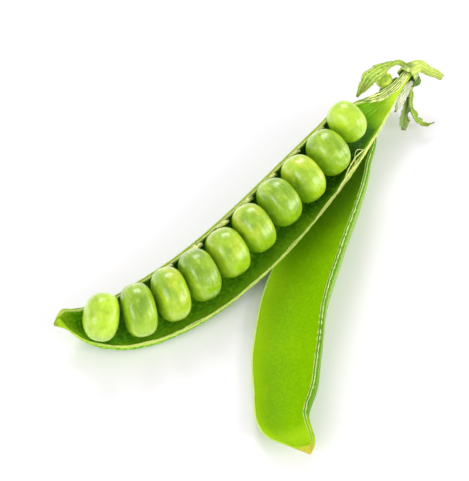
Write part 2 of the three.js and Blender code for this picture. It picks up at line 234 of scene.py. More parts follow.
class Along:
    """A smooth value over a table of (place, value)."""

    def __init__(self, table):
        self.places = [place for place, _ in table]
        self.values = [value for _, value in table]

    def __call__(self, place):
        places, values = self.places, self.values
        last = len(places) - 1
        place = min(max(place, places[0]), places[-1])
        k = max(0, min(last - 1, sum(1 for p in places if p <= place) - 1))
        gap = places[k + 1] - places[k]
        before, value_before = (places[k - 1], values[k - 1]) if k > 0 else (places[0] - gap, values[1])
        after, value_after = (
            (places[k + 2], values[k + 2]) if k + 2 <= last else (places[last] + gap, values[last - 1]))
        weight_in = gap / 2 / (places[k] - before)
        weight_out = gap / 2 / (after - places[k + 1])
        p = (place - places[k]) / gap
        share_before = -weight_in * p ** 3 + 2 * weight_in * p ** 2 - weight_in * p
        share_here = (1 + weight_in) * p ** 3 + (-1.5 - 2 * weight_in) * p ** 2 + (-0.5 + weight_in) * p + 1
        share_next = (-1 - weight_out) * p ** 3 + (1.5 + weight_out) * p ** 2 + 0.5 * p
        share_after = weight_out * p ** 3 - weight_out * p ** 2
        return (share_before * value_before + share_here * values[k]
                + share_next * values[k + 1] + share_after * value_after)


def ease(value, low, high):
    """0 at low, 1 at high and beyond."""
    share = min(max((value - low) / (high - low), 0), 1)
    return share * share * (3 - 2 * share)


def bell(value, middle, reach):
    return exp(-((value - middle) / reach) ** 2)


def ripple(x, y, z=0.0):
    return noise.noise(Vector((x, y, z)))


# ---- Making and joining pieces ----

def select_nothing():
    if bpy.context.object and bpy.context.object.mode != "OBJECT":
        bpy.ops.object.mode_set(mode="OBJECT")
    bpy.ops.object.select_all(action="DESELECT")


def take(piece):
    select_nothing()
    piece.select_set(True)
    bpy.context.view_layer.objects.active = piece


def rolled_sheet(name, lengthwise, around, place, mark):
    """A sheet rolled into a closed tube: place(i, j) gives each point in millimetres, mark(i, j) its UV."""
    select_nothing()
    bpy.ops.mesh.primitive_grid_add(x_subdivisions=lengthwise, y_subdivisions=around, size=2)
    piece = bpy.context.object
    piece.name = piece.data.name = name
    mesh = piece.data
    steps = [(round((v.co.x + 1) / 2 * lengthwise), round((v.co.y + 1) / 2 * around))
             for v in mesh.vertices]
    uv = mesh.uv_layers.active.data
    for loop in mesh.loops:
        uv[loop.index].uv = mark(*steps[loop.vertex_index])
    for vertex, (i, j) in zip(mesh.vertices, steps):
        vertex.co = place(i, j % around) * MM
    bpy.ops.object.mode_set(mode="EDIT")
    # Welded here because the weld tool takes in everything within a thousandth of a millimetre.
    bm = bmesh.from_edit_mesh(mesh)
    bmesh.ops.remove_doubles(bm, verts=bm.verts, dist=1e-8)
    bmesh.update_edit_mesh(mesh)
    close_ends(piece)
    bpy.ops.mesh.select_all(action="SELECT")
    bpy.ops.mesh.normals_make_consistent(inside=False)
    bpy.ops.object.mode_set(mode="OBJECT")
    bpy.ops.object.shade_smooth()
    return piece


def close_ends(piece):
    """Closes the open ends of the piece in edit mode, the new faces marked as the edge they grow from."""
    bpy.ops.mesh.select_all(action="DESELECT")
    bpy.ops.mesh.select_mode(type="EDGE")
    bpy.ops.mesh.select_non_manifold(extend=False)
    bpy.ops.mesh.fill_holes(sides=0)
    bpy.ops.mesh.select_mode(type="FACE")
    bm = bmesh.from_edit_mesh(piece.data)
    uv = bm.loops.layers.uv.active
    for face in [f for f in bm.faces if len(f.verts) > 4]:
        for loop in face.loops:
            known = [other for other in loop.vert.link_loops if len(other.face.verts) <= 4]
            loop[uv].uv = known[0][uv].uv.copy() if known else (0, 0)
        bmesh.ops.poke(bm, faces=[face])
    bmesh.update_edit_mesh(piece.data)
    bpy.ops.mesh.select_mode(type="VERT")


def join(name, pieces):
    take(pieces[0])
    for other in pieces[1:]:
        other.select_set(True)
    bpy.ops.object.join()
    pieces[0].name = pieces[0].data.name = name
    return pieces[0]


def move_points(piece, place):
    """Moves every point of a piece; place() takes and gives millimetres."""
    for vertex in piece.data.vertices:
        vertex.co = place(vertex.co / MM) * MM


def keep_on_points(piece, name, values, kind="FLOAT", field="value"):
    """Keeps a value on each point of the mesh, for the skin to read."""
    piece.data.attributes.new(name, kind, "POINT").data.foreach_set(field, values)


def dress(piece, material, slot, *nodes):
    piece.data.materials.clear()
    piece.data.materials.append(material)
    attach(piece, "root")
    if nodes:
        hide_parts(*nodes)


# ---- The valves ----

def depth_of(width):
    slim = max(0, 1 - width / POD_WIDTH)
    return min(width, POD_WIDTH) * DEPTH_RATIO * (1 + 0.35 * slim * slim)


def edge_of(width):
    """The share of their full size that the rim and the seam have on a valve of this width."""
    return min(1, width / NARROW)


def rim_width(x):
    """The width of the full valve's torn rim along the pod, as a share of the usual one."""
    by_beak = 0.12 * ease(x, 62, 80) * (1 - ease(x, 90, 93))
    return 0.72 + 0.65 * bell(x, 25, 5) + 0.15 * ripple(x * 0.4, 2.5) + by_beak


def spread_rim_width(x):
    """The same for the empty valve, whose rim is slim and even."""
    return 0.62 + 0.1 * ripple(x * 0.4, 1.5)


def outside_place(share):
    """How far round the outside a share is: -1 at the seam, 1 at the rim."""
    return -cos(pi * share / OUTSIDE_END)


def section_point(width, share, rim_share=1.0):
    """The point at a share of the way round a valve's section: across to the dorsal side, and down."""
    half = width / 2
    edge = edge_of(width)
    rim, seam = RIM * edge * rim_share, SEAM * edge
    if share <= OUTSIDE_END:
        a = outside_place(share)
        return half * a, depth_of(width) * max(0, 1 - a * a) ** FULLNESS
    if share <= RIM_END:
        a = pi * (share - OUTSIDE_END) / (RIM_END - OUTSIDE_END)
        return half - rim / 2 * (1 - cos(a)), -0.26 * edge * sin(a) ** 0.6
    if share <= INSIDE_END:
        opened = ease(width, 2.4, 6.5)
        hollow = opened * (depth_of(width) - WALL) - (1 - opened) * 0.2 * width
        a = cos(pi * (share - RIM_END) / (INSIDE_END - RIM_END))
        inner = half - (rim + seam) / 2
        return (seam - rim) / 2 + inner * a, hollow * max(0, 1 - a * a) ** FULLNESS
    a = (share - INSIDE_END) / (1 - INSIDE_END)
    groove = 0.15 * bell(a, 0.5, 0.12) + 0.06 * bell(a, 0.82, 0.06)
    rise = 0.78 * sin(pi * a) ** 0.55 * (1 - 0.25 * a) - groove
    return -half + seam * (1 - a) - 0.06 * seam * sin(pi * a) * a, -rise * seam


def upper_face(width, across):
    """The height over its margins of the upper face of a valve, where it is cut across."""
    points = [section_point(width, RIM_END + (1 - RIM_END) * k / 60) for k in range(61)]
    return -min(points, key=lambda point: abs(point[0] - across))[1]


class Valve:
    """A valve as it lies: its stations from the calyx to the beak, each with the ways across and down."""

    def __init__(self, lie):
        self.ventral = Run(lie["ventral"])
        self.dorsal = Run(lie["dorsal"])
        self.belly = Along(lie["belly"])
        self.roll = Along(lie["roll"])
        self.sway = Along(lie["sway"])
        self.reach, self.side = lie["reach"], lie["side"]
        self.turn = Matrix.Rotation(radians(lie["heading"]), 3, "Z")

    def station(self, t):
        low, high = self.ventral.at(t), self.dorsal.at(t)
        middle = (low + high) / 2
        flat = high - low
        width = flat.length
        flat.normalize()
        roll = radians(self.roll(middle.x))
        across = flat * cos(roll) + Vector((0, 0, -sin(roll)))
        down = -flat * sin(roll) + Vector((0, 0, -cos(roll)))
        middle.y += self.sway(middle.x)
        lowest = min(
            (middle + across * s + down * d).z
            for s, d in (section_point(width, OUTSIDE_END * k / 24) for k in range(25)))
        middle.z += self.belly(middle.x) - lowest
        return {"x": middle.x, "middle": middle, "across": across, "down": down, "width": width}

    def station_at(self, x):
        low, high = 0.0, 1.0
        for _ in range(20):
            t = (low + high) / 2
            if self.station(t)["middle"].x < x:
                low = t
            else:
                high = t
        return self.station(low)

    def stand(self, point):
        """Takes a point of the pod's own frame to where the valve lies."""
        point = Vector((point.x * self.reach, point.y * self.side, point.z))
        return self.turn @ point + Vector((CALYX.x, CALYX.y, 0))


def section_share(step):
    """Spreads the points of a section, crowding them on the rim and the seam."""
    tissues = [(0, 0), (0.34, OUTSIDE_END), (0.46, RIM_END), (0.76, INSIDE_END), (1, 1)]
    for (start, low), (end, high) in zip(tissues, tissues[1:]):
        if step <= end:
            return low + (high - low) * (step - start) / (end - start)
    return 1


def valve_ring(valve, row, shares, relief, rim_share):
    """One section of a valve where it lies, its relief standing out along the section's normals."""
    flat = [section_point(row["width"], share, rim_share) for share in shares]
    calm = ease(row["x"], 94.6, 90)
    ring = []
    for j, (s, d) in enumerate(flat):
        before, after = flat[j - 1], flat[(j + 1) % len(flat)]
        normal = Vector((after[1] - before[1], before[0] - after[0]))
        if normal.length > 0:
            normal.normalize()
        out = relief(row["x"], shares[j], row["width"]) * calm - 0.05 * (1 - calm)
        s, d = s - normal.x * out, d - normal.y * out
        point = row["middle"] + row["across"] * s + row["down"] * d
        point.z = max(0, point.z)
        ring.append(valve.stand(point))
    return ring


def valve_body(name, valve, relief, rim_share):
    # Rows crowd towards the beak, where the margins turn fastest.
    rows = [valve.station(0.6 * u + 0.4 * (1 - (1 - u) ** 1.3))
            for u in (i / VALVE_ROWS for i in range(VALVE_ROWS + 1))]
    shares = [section_share(j / VALVE_POINTS) for j in range(VALVE_POINTS + 1)]
    rings = [valve_ring(valve, row, shares[:-1], relief, rim_share(row["x"])) for row in rows]
    return rolled_sheet(
        name, VALVE_ROWS, VALVE_POINTS, lambda i, j: rings[i][j],
        lambda i, j: (rows[i]["x"] / 100, shares[j]))


def beside_peas(x, reach):
    """1 beside the middle of a pea, 0 between two peas."""
    return sum(bell(x, pea[0], reach) for pea in PEAS)


def full_relief(x, share, width):
    """How far the full valve's surface stands out from its plain form."""
    edge = edge_of(width)
    if share <= OUTSIDE_END:
        a = outside_place(share)
        swell = beside_peas(x, 3) * (1 - a * a)
        lip = 0.4 * ease(a, 0.72, 0.93) * ease(1 - a, 0.0, 0.05) * ease(x, 50, 70)
        return (0.16 * swell + lip * (1 + 0.4 * ripple(x * 0.7, 21)) + 0.1 * ripple(x * 0.12, share * 9)
                + 0.05 * ripple(x * 0.9, share * 30, 4))
    if share <= RIM_END:
        torn = (ripple(x * 0.35, 3) * 0.14 + ripple(x * 1.1, share * 12, 7) * 0.14
                + ripple(x * 3.1, share * 30, 9) * 0.1)
        return torn * edge
    if share <= INSIDE_END:
        a = (share - RIM_END) / (INSIDE_END - RIM_END)
        hollows = beside_peas(x, 2.6) * bell(a, 0.55, 0.2)
        return -0.12 * hollows + 0.06 * ripple(x * 0.3, share * 8, 2) + 0.03 * ripple(x * 1.3, share * 25, 5)
    return (0.07 * ripple(x * 0.8, share * 40, 6) + 0.05 * sin(x * 2.1) * bell(x, 10, 8)) * edge


def empty_relief(x, share, width):
    """How far the empty valve's surface stands out from its plain form."""
    edge = edge_of(width)
    if share <= OUTSIDE_END:
        a = outside_place(share)
        swell = beside_peas(x, 3) * (1 - a * a)
        return 0.12 * swell + 0.1 * ripple(x * 0.1, share * 9, 11) + 0.04 * ripple(x * 0.9, share * 30, 14)
    if share <= RIM_END:
        return (ripple(x * 0.3, 13) * 0.08 + ripple(x * 1.4, share * 12, 17) * 0.07) * edge
    if share <= INSIDE_END:
        a = (share - RIM_END) / (INSIDE_END - RIM_END)
        hollows = beside_peas(x, 2.6) * bell(a, 0.55, 0.22)
        cloudy = 0.08 * ripple(x * 0.16, share * 5, 12)
        return -0.12 * hollows + cloudy + 0.02 * ripple(x * 1.1, share * 22, 15)
    crinkle = (bell(x, 70, 7) + 0.5 * bell(x, 45, 14)) * 0.15 * sin(x * 3.3 + 4 * ripple(x * 0.5, 18))
    return (0.07 * ripple(x * 0.8, share * 40, 16) + crinkle) * edge


def funicle(name, valve, x, size):
    """The ragged web of cord tissue left on the seam between two seeds, leaning towards the calyx."""
    row = valve.station_at(x)
    across, down = row["across"], row["down"]
    foot = row["middle"] + across * (-row["width"] / 2 + 0.62 * SEAM) - down * 0.1 * SEAM
    to_calyx = across.cross(down)
    path = Run([
        foot + across * 1.1 * size * u - down * FUNICLE_LENGTH * size * u + to_calyx * 1.5 * size * u * u
        for u in (0, 0.35, 0.7, 1)])
    sides, steps = 32, 28
    spread = Along([(0, 1.3), (0.2, 1), (0.5, 0.9), (0.8, 0.8), (1, 0.35)])

    def place(i, j):
        u = i / steps
        turn = 2 * pi * j / sides
        forward = path.direction(u)
        side = (to_calyx - forward * forward.dot(to_calyx)).normalized()
        other = forward.cross(side)
        ragged = 1 + 0.7 * ripple(u * 5, cos(turn) * 1.5, x) + 0.5 * ripple(u * 13, turn * 2, x)
        fold = 0.3 * ripple(u * 2, cos(turn) * 1.8, x + 7)
        notch = abs(ripple(turn * 1.7, x))
        return valve.stand(path.at(u) + side * cos(turn) * spread(u) * size * ragged
                           + other * (sin(turn) * 0.2 + fold) - forward * 1.6 * u * notch)

    def mark(i, j):
        return x / 100 + 0.02 * i / steps, 0.914 + 0.02 * cos(2 * pi * j / sides)

    return rolled_sheet(name, steps, sides, place, mark)


def full_pod_valve():
    valve = Valve(FULL_VALVE)
    body = valve_body("full_pod_valve", valve, full_relief, rim_width)
    funicles = [
        funicle(f"funicle_{k}", valve, (PEAS[k][0] + PEAS[k + 1][0]) / 2 + 0.4, size)
        for k, size in enumerate(FUNICLE_SIZES) if size]
    return join("full_pod_valve", [body, *funicles])


def empty_pod_valve():
    return valve_body("empty_pod_valve", Valve(EMPTY_VALVE), empty_relief, spread_rim_width)


# ---- Loose threads of the torn margins ----

def thread(name, points, thickness, tint):
    """A thin round thread through points, tapered at both ends. Its tint runs from 0, pale, to 1, green."""
    path = Run(points)
    steps, sides = 6 * (len(points) - 1) + 6, 8

    def place(i, j):
        u = i / steps
        turn = 2 * pi * j / sides
        forward = path.direction(u)
        side = forward.cross(Vector((0.3, 0.2, 0.93))).normalized()
        other = forward.cross(side)
        taper = 0.25 + 0.75 * min(1, 9 * u, 9 * (1 - u))
        radius = thickness / 2 * taper * (1 + 0.5 * ripple(u * 17, thickness * 90 + tint * 7))
        return path.at(u) + (side * cos(turn) + other * sin(turn)) * radius

    return rolled_sheet(name, steps, sides, place, lambda i, j: (i / steps, tint))


def strand_point(valve, k, x, end):
    """Where a strand lies on the seam, fanned out over the neck and gathered again towards its end."""
    row = valve.station_at(x)
    spread = min(1, 0.45 + x * 0.06) * ease(x, end + 9, end - 8)
    s = -row["width"] / 2 + 0.08 + (STRAND_GAP * k + 0.2 * ripple(x * 0.55, k * 4.1)) * spread
    lift = max(upper_face(row["width"], s), -0.1) + 0.08 + 0.2 * bell(x, 7, 4) * bell(k, 3, 3)
    return valve.stand(row["middle"] + row["across"] * s - row["down"] * lift)


def suture_strands():
    """The split strands of the thick seam, from the calyx along the neck of the full valve."""
    valve = Valve(FULL_VALVE)
    threads = []
    for k, tint in enumerate(STRAND_TINTS):
        end = STRAND_END - 0.38 * k + 2 * ripple(k * 2.3, 6)
        places = [STRAND_START + (end - STRAND_START) * n / 14 for n in range(15)]
        points = [strand_point(valve, k, x, end) for x in places]
        threads.append(thread(f"strand_{k}", points, 0.3 - 0.02 * (k % 2), tint))
    return join("suture_strands", threads)


def fibre_point(valve, k, u):
    """Where a torn fibre hangs, bowed inwards from the rim and lifted off it."""
    start, end, bow, lift, _, _ = FIBRES[k]
    row = valve.station_at(start + (end - start) * u)
    arch = sin(pi * u)
    s = row["width"] / 2 - 0.3 - bow * arch + 0.1 * ripple(u * 4, k * 3.3)
    up = 0.2 + lift * arch + 0.1 * ripple(u * 5, k * 1.7, 2)
    return valve.stand(row["middle"] + row["across"] * s - row["down"] * up)


def rim_fibres():
    """Pale fibres torn loose along the dorsal rim of the full valve."""
    valve = Valve(FULL_VALVE)
    threads = []
    for k, (*_, thickness, tint) in enumerate(FIBRES):
        points = [fibre_point(valve, k, n / 8) for n in range(9)]
        threads.append(thread(f"fibre_{k}", points, thickness, tint))
    return join("rim_fibres", threads)


# ---- The peas ----

def base_pea():
    """A round pea of radius 1, from which all ten are shaped."""
    select_nothing()
    bpy.ops.mesh.primitive_cube_add(size=2)
    pea = bpy.context.object
    bpy.ops.object.mode_set(mode="EDIT")
    bpy.ops.mesh.select_all(action="SELECT")
    bpy.ops.mesh.subdivide(number_cuts=33)
    bpy.ops.transform.tosphere(value=1)
    bpy.ops.object.mode_set(mode="OBJECT")
    bpy.ops.object.shade_smooth()
    for vertex in pea.data.vertices:
        vertex.co.normalize()
    return pea


def pea_point(p, number):
    """Squares a point of the round pea as its neighbours press it, and adds its scar and its lumps."""
    p = p.copy()
    free = (number == 1) if p.x > 0 else (number == len(PEAS))
    squash = FREE_POWER if free else PRESSED_POWER - 0.05 * number
    girth = (abs(p.y) ** GIRTH_POWER + abs(p.z) ** GIRTH_POWER) ** (1 / GIRTH_POWER)
    p *= (abs(p.x) ** squash + girth ** squash) ** (-1 / squash) * 0.99
    # The hilum, a small raised scar on the side of the seam, and the soft unevenness of the skin.
    scar = hypot(p.x / 0.2, (p.z - 0.15) / 0.1) if p.y < 0 else 9
    lump = (0.014 * ripple(p.x * 1.7 + number * 5, p.y * 1.7, p.z * 1.7)
            + 0.006 * ripple(p.x * 5 + number * 5, p.y * 5, p.z * 5))
    p *= 1 + lump + 0.012 * bell(scar, 1, 0.45) - 0.01 * bell(scar, 0, 0.8)
    if number == len(PEAS):
        p.z *= LAST_PEA_HEIGHT
    return p


def lay_pea(base, valve, number, measures):
    at, length, width, thick, aside, seat, tone = measures
    row = valve.station_at(at)
    forward = (valve.station_at(at + 2)["middle"] - valve.station_at(at - 2)["middle"]).normalized()
    height = thick / 2 + seat + WALL - depth_of(row["width"])
    centre = row["middle"] - row["across"] * aside - row["down"] * height
    across = Matrix.Rotation(-radians(PEA_TIP), 3, forward) @ row["across"]
    across = (across - forward * across.dot(forward)).normalized()
    up = forward.cross(across)
    slant = Matrix.Rotation(-radians(PEA_SLANT), 3, up)
    forward, across = slant @ forward, slant @ across
    take(base)
    bpy.ops.object.duplicate()
    pea = bpy.context.object
    pea.name = pea.data.name = f"fresh_pea_{number:02d}"
    count = len(pea.data.vertices)
    grown = [value for vertex in pea.data.vertices for value in vertex.co]
    keep_on_points(pea, "own", grown, "FLOAT_VECTOR", "vector")
    keep_on_points(pea, "kin", [number] * count)
    keep_on_points(pea, "tone", [tone] * count)
    for vertex in pea.data.vertices:
        p = pea_point(vertex.co, number)
        local = forward * (p.x * length / 2) + across * (p.y * width / 2) + up * (p.z * thick / 2)
        vertex.co = valve.stand(centre + local) * MM
    return pea


def fresh_peas():
    base = base_pea()
    valve = Valve(FULL_VALVE)
    peas = [lay_pea(base, valve, number, measures) for number, measures in enumerate(PEAS, 1)]
    bpy.data.objects.remove(base)
    return peas


# ---- The flower calyx, the stalk and the small seed ----

def spun_cup():
    """The outline of the cup's wall, spun round the cup's own axis."""
    select_nothing()
    bpy.ops.mesh.primitive_circle_add(vertices=len(CUP_OUTLINE), radius=MM)
    cup = bpy.context.object
    for vertex, (along, out) in zip(cup.data.vertices, CUP_OUTLINE):
        vertex.co = Vector((along, out, 0)) * MM
    bpy.ops.object.mode_set(mode="EDIT")
    bm = bmesh.from_edit_mesh(cup.data)
    axis_edge = [e for e in bm.edges if all(abs(v.co.y) < 1e-9 for v in e.verts)]
    bmesh.ops.delete(bm, geom=axis_edge, context="EDGES_FACES")
    bmesh.update_edit_mesh(cup.data)
    bpy.ops.mesh.select_all(action="SELECT")
    bpy.ops.mesh.spin(steps=80, angle=2 * pi, center=(0, 0, 0), axis=(1, 0, 0))
    bpy.ops.mesh.select_all(action="SELECT")
    bpy.ops.mesh.remove_doubles(threshold=1e-6)
    bpy.ops.mesh.normals_make_consistent(inside=False)
    bpy.ops.object.mode_set(mode="OBJECT")
    bpy.ops.object.shade_smooth()
    return cup


def calyx_cup():
    """The cup, ribbed along its axis and lobed at its mouth."""
    cup = spun_cup()
    turn = Matrix.Rotation(radians(CALYX_TURN), 3, "Z")

    def ribbed(p):
        round_it = atan2(p.z, p.y)
        out = hypot(p.y, p.z)
        rib = (0.1 * cos(5 * round_it + 0.6) + 0.07 * cos(13 * round_it)
               + 0.12 * ripple(p.x * 1.2, round_it * 3, 4)) * out / 2.75
        scale = 1 + rib / max(out, 0.5) * (0.5 if out < 1 else 1)
        lobe = (cos(5 * round_it - 0.8) * 0.22 + 0.25 * ripple(round_it * 2, 5)) * ease(p.x, 0.9, -0.6)
        return turn @ Vector((p.x - lobe, p.y * scale, p.z * scale)) + CALYX

    move_points(cup, ribbed)
    return cup


def calyx_swelling():
    select_nothing()
    bpy.ops.mesh.primitive_uv_sphere_add(segments=32, ring_count=20, radius=1.5 * MM)
    lump = bpy.context.object
    bpy.ops.object.shade_smooth()
    middle = CALYX + Vector((1.3, -1.1, -1.2))
    move_points(lump, lambda p: middle + p * (0.98 + 0.1 * ripple(p.x, p.y, p.z)))
    return lump


class Blade:
    """The plain form of a sepal: its midrib, how wide it spreads, and its ways along, aside and out."""

    def __init__(self, number):
        width, widest, slim, tip, face, path = SEPALS[number - 1]
        self.half = width / 2
        self.face = Vector(face)
        self.midrib = Run([CALYX + Vector(point) for point in path])
        self.spread = Along([
            (0, 0.4), (widest / 2, slim), (widest, 1), ((1 + widest) / 2, 0.72 + 0.35 * tip), (1, tip)])

    def ways(self, u):
        along = self.midrib.direction(u)
        side = self.face.cross(along).normalized()
        return along, side, along.cross(side)


def sepal(number):
    """A leafy blade with a keel and ribs, its margins waved."""
    form = Blade(number)
    steps, sides = 72, 48

    def place(i, j):
        u = i / steps
        turn = 2 * pi * j / sides
        _, side, normal = form.ways(u)
        half = form.half * form.spread(u)
        thin = SEPAL_THICKNESS * (0.8 - 0.4 * u)
        s = cos(turn)
        wave = 0.7 * ripple(u * 7, s * 0.7, number * 3) + 0.3 * ripple(u * 17, s * 2, number * 5)
        keel = 0.14 * bell(s, 0, 0.14) * (1 - 0.7 * u) + 0.045 * cos(s * 19) * (1 - abs(s))
        upper = sin(turn)
        thickness = thin / 2 * (1 - 0.55 * s * s)
        cup = 0.35 * half * s * s + wave * abs(s) ** 1.5
        margin = 1 + 0.26 * ripple(u * 9, 5 + s, number) + 0.14 * ripple(u * 27, 2 + s, number)
        return (form.midrib.at(u) + side * max(half, thin / 2) * s * margin
                + normal * (cup + upper * thickness - (keel if upper > 0 else keel * 1.2)))

    blade = rolled_sheet(f"sepal_{number}", steps, sides, place, lambda i, j: (i / steps, j / sides))
    mark_tissue(blade, *SEPAL_MARKS[number - 1])
    return blade


def mark_tissue(piece, pale, dark, dry):
    """Three shades kept on the mesh: how pale, how dark green and how dry the tissue is; on the calyx cup and
    swelling the dark green is painted shade.
    """
    for name, value in (("pale", pale), ("dark", dark), ("dry", dry)):
        keep_on_points(piece, name, [value] * len(piece.data.vertices))


def darken(piece, shade):
    """Makes parts of a marked piece dark green; shade() takes millimetres from the calyx."""
    dark = piece.data.attributes["dark"].data
    for vertex in piece.data.vertices:
        dark[vertex.index].value = shade(vertex.co / MM - CALYX)


def flower_calyx():
    blades = [sepal(number) for number in range(1, len(SEPALS) + 1)]
    cup, swelling = calyx_cup(), calyx_swelling()
    for part in (cup, swelling):
        layer = part.data.uv_layers.active or part.data.uv_layers.new(name="UVMap")
        layer.name = "UVMap"
        for loop in part.data.loops:
            p = part.data.vertices[loop.vertex_index].co / MM - CALYX
            layer.data[loop.index].uv = (0.05, atan2(p.z, p.y) / (2 * pi) + 0.5)
    # Painted shade: the swelling under the cup is dark green all over, and the cup darkens on its lower side.
    mark_tissue(swelling, 0, 1, 0)
    mark_tissue(cup, 0.2, 0, 0)
    shaded_side = Vector((0.5, -0.7, -0.5))
    darken(cup, lambda p: ease(p.dot(shaded_side), 0.6, 1.8))
    return join("flower_calyx", [*blades, cup, swelling])


def hair_stance(chance, number):
    """Where on a sepal the next hair stands, which way it leans and how long it is."""
    form = Blade(number)
    u = chance.uniform(0.08, 0.97)
    if number == HAIRY_ALL_OVER:
        s = chance.uniform(-1, 1)
    else:
        s = chance.choice((-1, 1)) * chance.uniform(0.75, 1)
    along, side, normal = form.ways(u)
    foot = form.midrib.at(u) + side * form.half * form.spread(u) * s * 0.95 + normal * 0.3 * form.half * s * s
    lean = side * s * 1.2 + normal * chance.uniform(-0.2, 0.8) + along * chance.uniform(0.1, 0.7)
    lean.normalize()
    length = chance.uniform(0.35, 0.75)
    if foot.y + lean.y * length > HAIR_REACH:
        foot.y, lean.y = foot.y - 0.25, -abs(lean.y)
    return foot, lean, length


def sepal_hairs():
    """Short fine hairs on the sepals, one modelled and the rest copied from it."""
    select_nothing()
    bpy.ops.mesh.primitive_cone_add(vertices=5, radius1=0.045 * MM, radius2=0.012 * MM, depth=MM)
    first = bpy.context.object
    first.data.transform(Matrix.Translation((0, 0, 0.5 * MM)))
    chance = random.Random(7)
    hairs = []
    for number in [number for number, count in HAIRS for _ in range(count)]:
        foot, lean, length = hair_stance(chance, number)
        hair = first.copy()
        hair.data = first.data.copy()
        bpy.context.collection.objects.link(hair)
        turn = Vector((0, 0, 1)).rotation_difference(lean).to_matrix().to_4x4()
        hair.data.transform(Matrix.Translation(foot * MM) @ turn @ Matrix.Diagonal((1, 1, length, 1)))
        hairs.append(hair)
    bpy.data.objects.remove(first)
    return join("sepal_hairs", hairs)


def pod_stalk():
    """The stalk, flared where it grows from the calyx, ribbed, its cut end ragged."""
    path = Run([CALYX + Vector(point) for point in STALK])
    girth = Along([(0, 1.7), (0.12, 1.72), (0.28, 1.42), (0.5, 1.18), (0.8, 0.95), (1, 0.8)])
    steps, sides = 90, 48

    def place(i, j):
        u = i / steps
        turn = 2 * pi * j / sides
        forward = path.direction(u)
        side = forward.cross(Vector((0, 0, 1))).normalized()
        other = forward.cross(side)
        radius = girth(u) * (1 + 0.05 * cos(7 * turn + u) + 0.05 * ripple(u * 6, turn * 1.5, 3))
        frayed = ease(u, 0.93, 1) * (0.45 * ripple(turn * 2.5, 8) - 0.36)
        return path.at(u) + forward * frayed + (side * cos(turn) + other * sin(turn)) * radius

    stalk = rolled_sheet("pod_stalk", steps, sides, place, lambda i, j: (i / steps, j / sides))
    mark_tissue(stalk, 0, 0, 0)
    darken(stalk, lambda p: 0.7 * ease(p.x, 2.6, 1.2) * ease(p.y + p.z, 1.6, 2.6))
    return stalk


def small_seed():
    select_nothing()
    bpy.ops.mesh.primitive_uv_sphere_add(segments=48, ring_count=32, radius=MM)
    seed = bpy.context.object
    seed.name = seed.data.name = "small_seed"
    bpy.ops.object.shade_smooth()
    middle = CALYX + Vector((-4.5, 2.5, 0.3))

    def wrinkled(p):
        dent = 1 - 0.1 * bell(p.x, 0.6, 0.3) * bell(p.y, 0.1, 0.5) + 0.07 * ripple(p.x * 2, p.y * 2, p.z * 2)
        return middle + Vector((p.x * 1.95, p.y * 1.9, p.z * 1.85)) * min(dent, 1)

    move_points(seed, wrinkled)
    return seed


# ---- Making skins ----

def colour(text):
    """A colour for the shaders from its #rrggbb name."""
    values = [int(text[k:k + 2], 16) / 255 for k in (1, 3, 5)]
    return (*[v / 12.92 if v <= 0.04045 else ((v + 0.055) / 1.055) ** 2.4 for v in values], 1)


class Wire:
    """A value running through nodes; sums on it add Math nodes."""

    def __init__(self, maker, socket):
        self.maker, self.socket = maker, socket

    def figure(self, operation, *terms):
        return self.maker.node("ShaderNodeMath", {"operation": operation}, dict(enumerate(terms)))

    def __add__(self, other):
        return self.figure("ADD", self, other)

    __radd__ = __add__

    def __sub__(self, other):
        return self.figure("SUBTRACT", self, other)

    def __rsub__(self, other):
        return self.figure("SUBTRACT", other, self)

    def __mul__(self, other):
        return self.figure("MULTIPLY", self, other)

    __rmul__ = __mul__

    def __abs__(self):
        return self.figure("ABSOLUTE", self)

    def step(self, low, high):
        """0 below low and 1 above high, smooth between them; turned round where low is the higher."""
        return self.maker.node("ShaderNodeMapRange", {"interpolation_type": "SMOOTHSTEP"},
                               {"Value": self, "From Min": low, "From Max": high})

    def near(self, middle, reach):
        return abs(self - middle).step(reach, 0)


class Nodes:
    """The nodes of a material or of the room, made from nothing."""

    def __init__(self, owner):
        owner.use_nodes = True
        self.owner, self.tree = owner, owner.node_tree
        self.tree.nodes.clear()

    def node(self, kind, settings=None, values=None, out=0):
        """Adds a node. Each value is a wire, a number, a vector or a colour's #rrggbb name."""
        made = self.tree.nodes.new(kind)
        for key, value in (settings or {}).items():
            setattr(made, key, value)
        for key, value in (values or {}).items():
            if isinstance(value, Wire):
                self.tree.links.new(value.socket, made.inputs[key])
            else:
                made.inputs[key].default_value = colour(value) if isinstance(value, str) else value
        return Wire(self, made.outputs[out]) if made.outputs else None

    def parts(self, vector):
        """The x, y and z of a vector."""
        split = self.node("ShaderNodeSeparateXYZ", {}, {"Vector": vector})
        return [Wire(self, socket) for socket in split.socket.node.outputs]


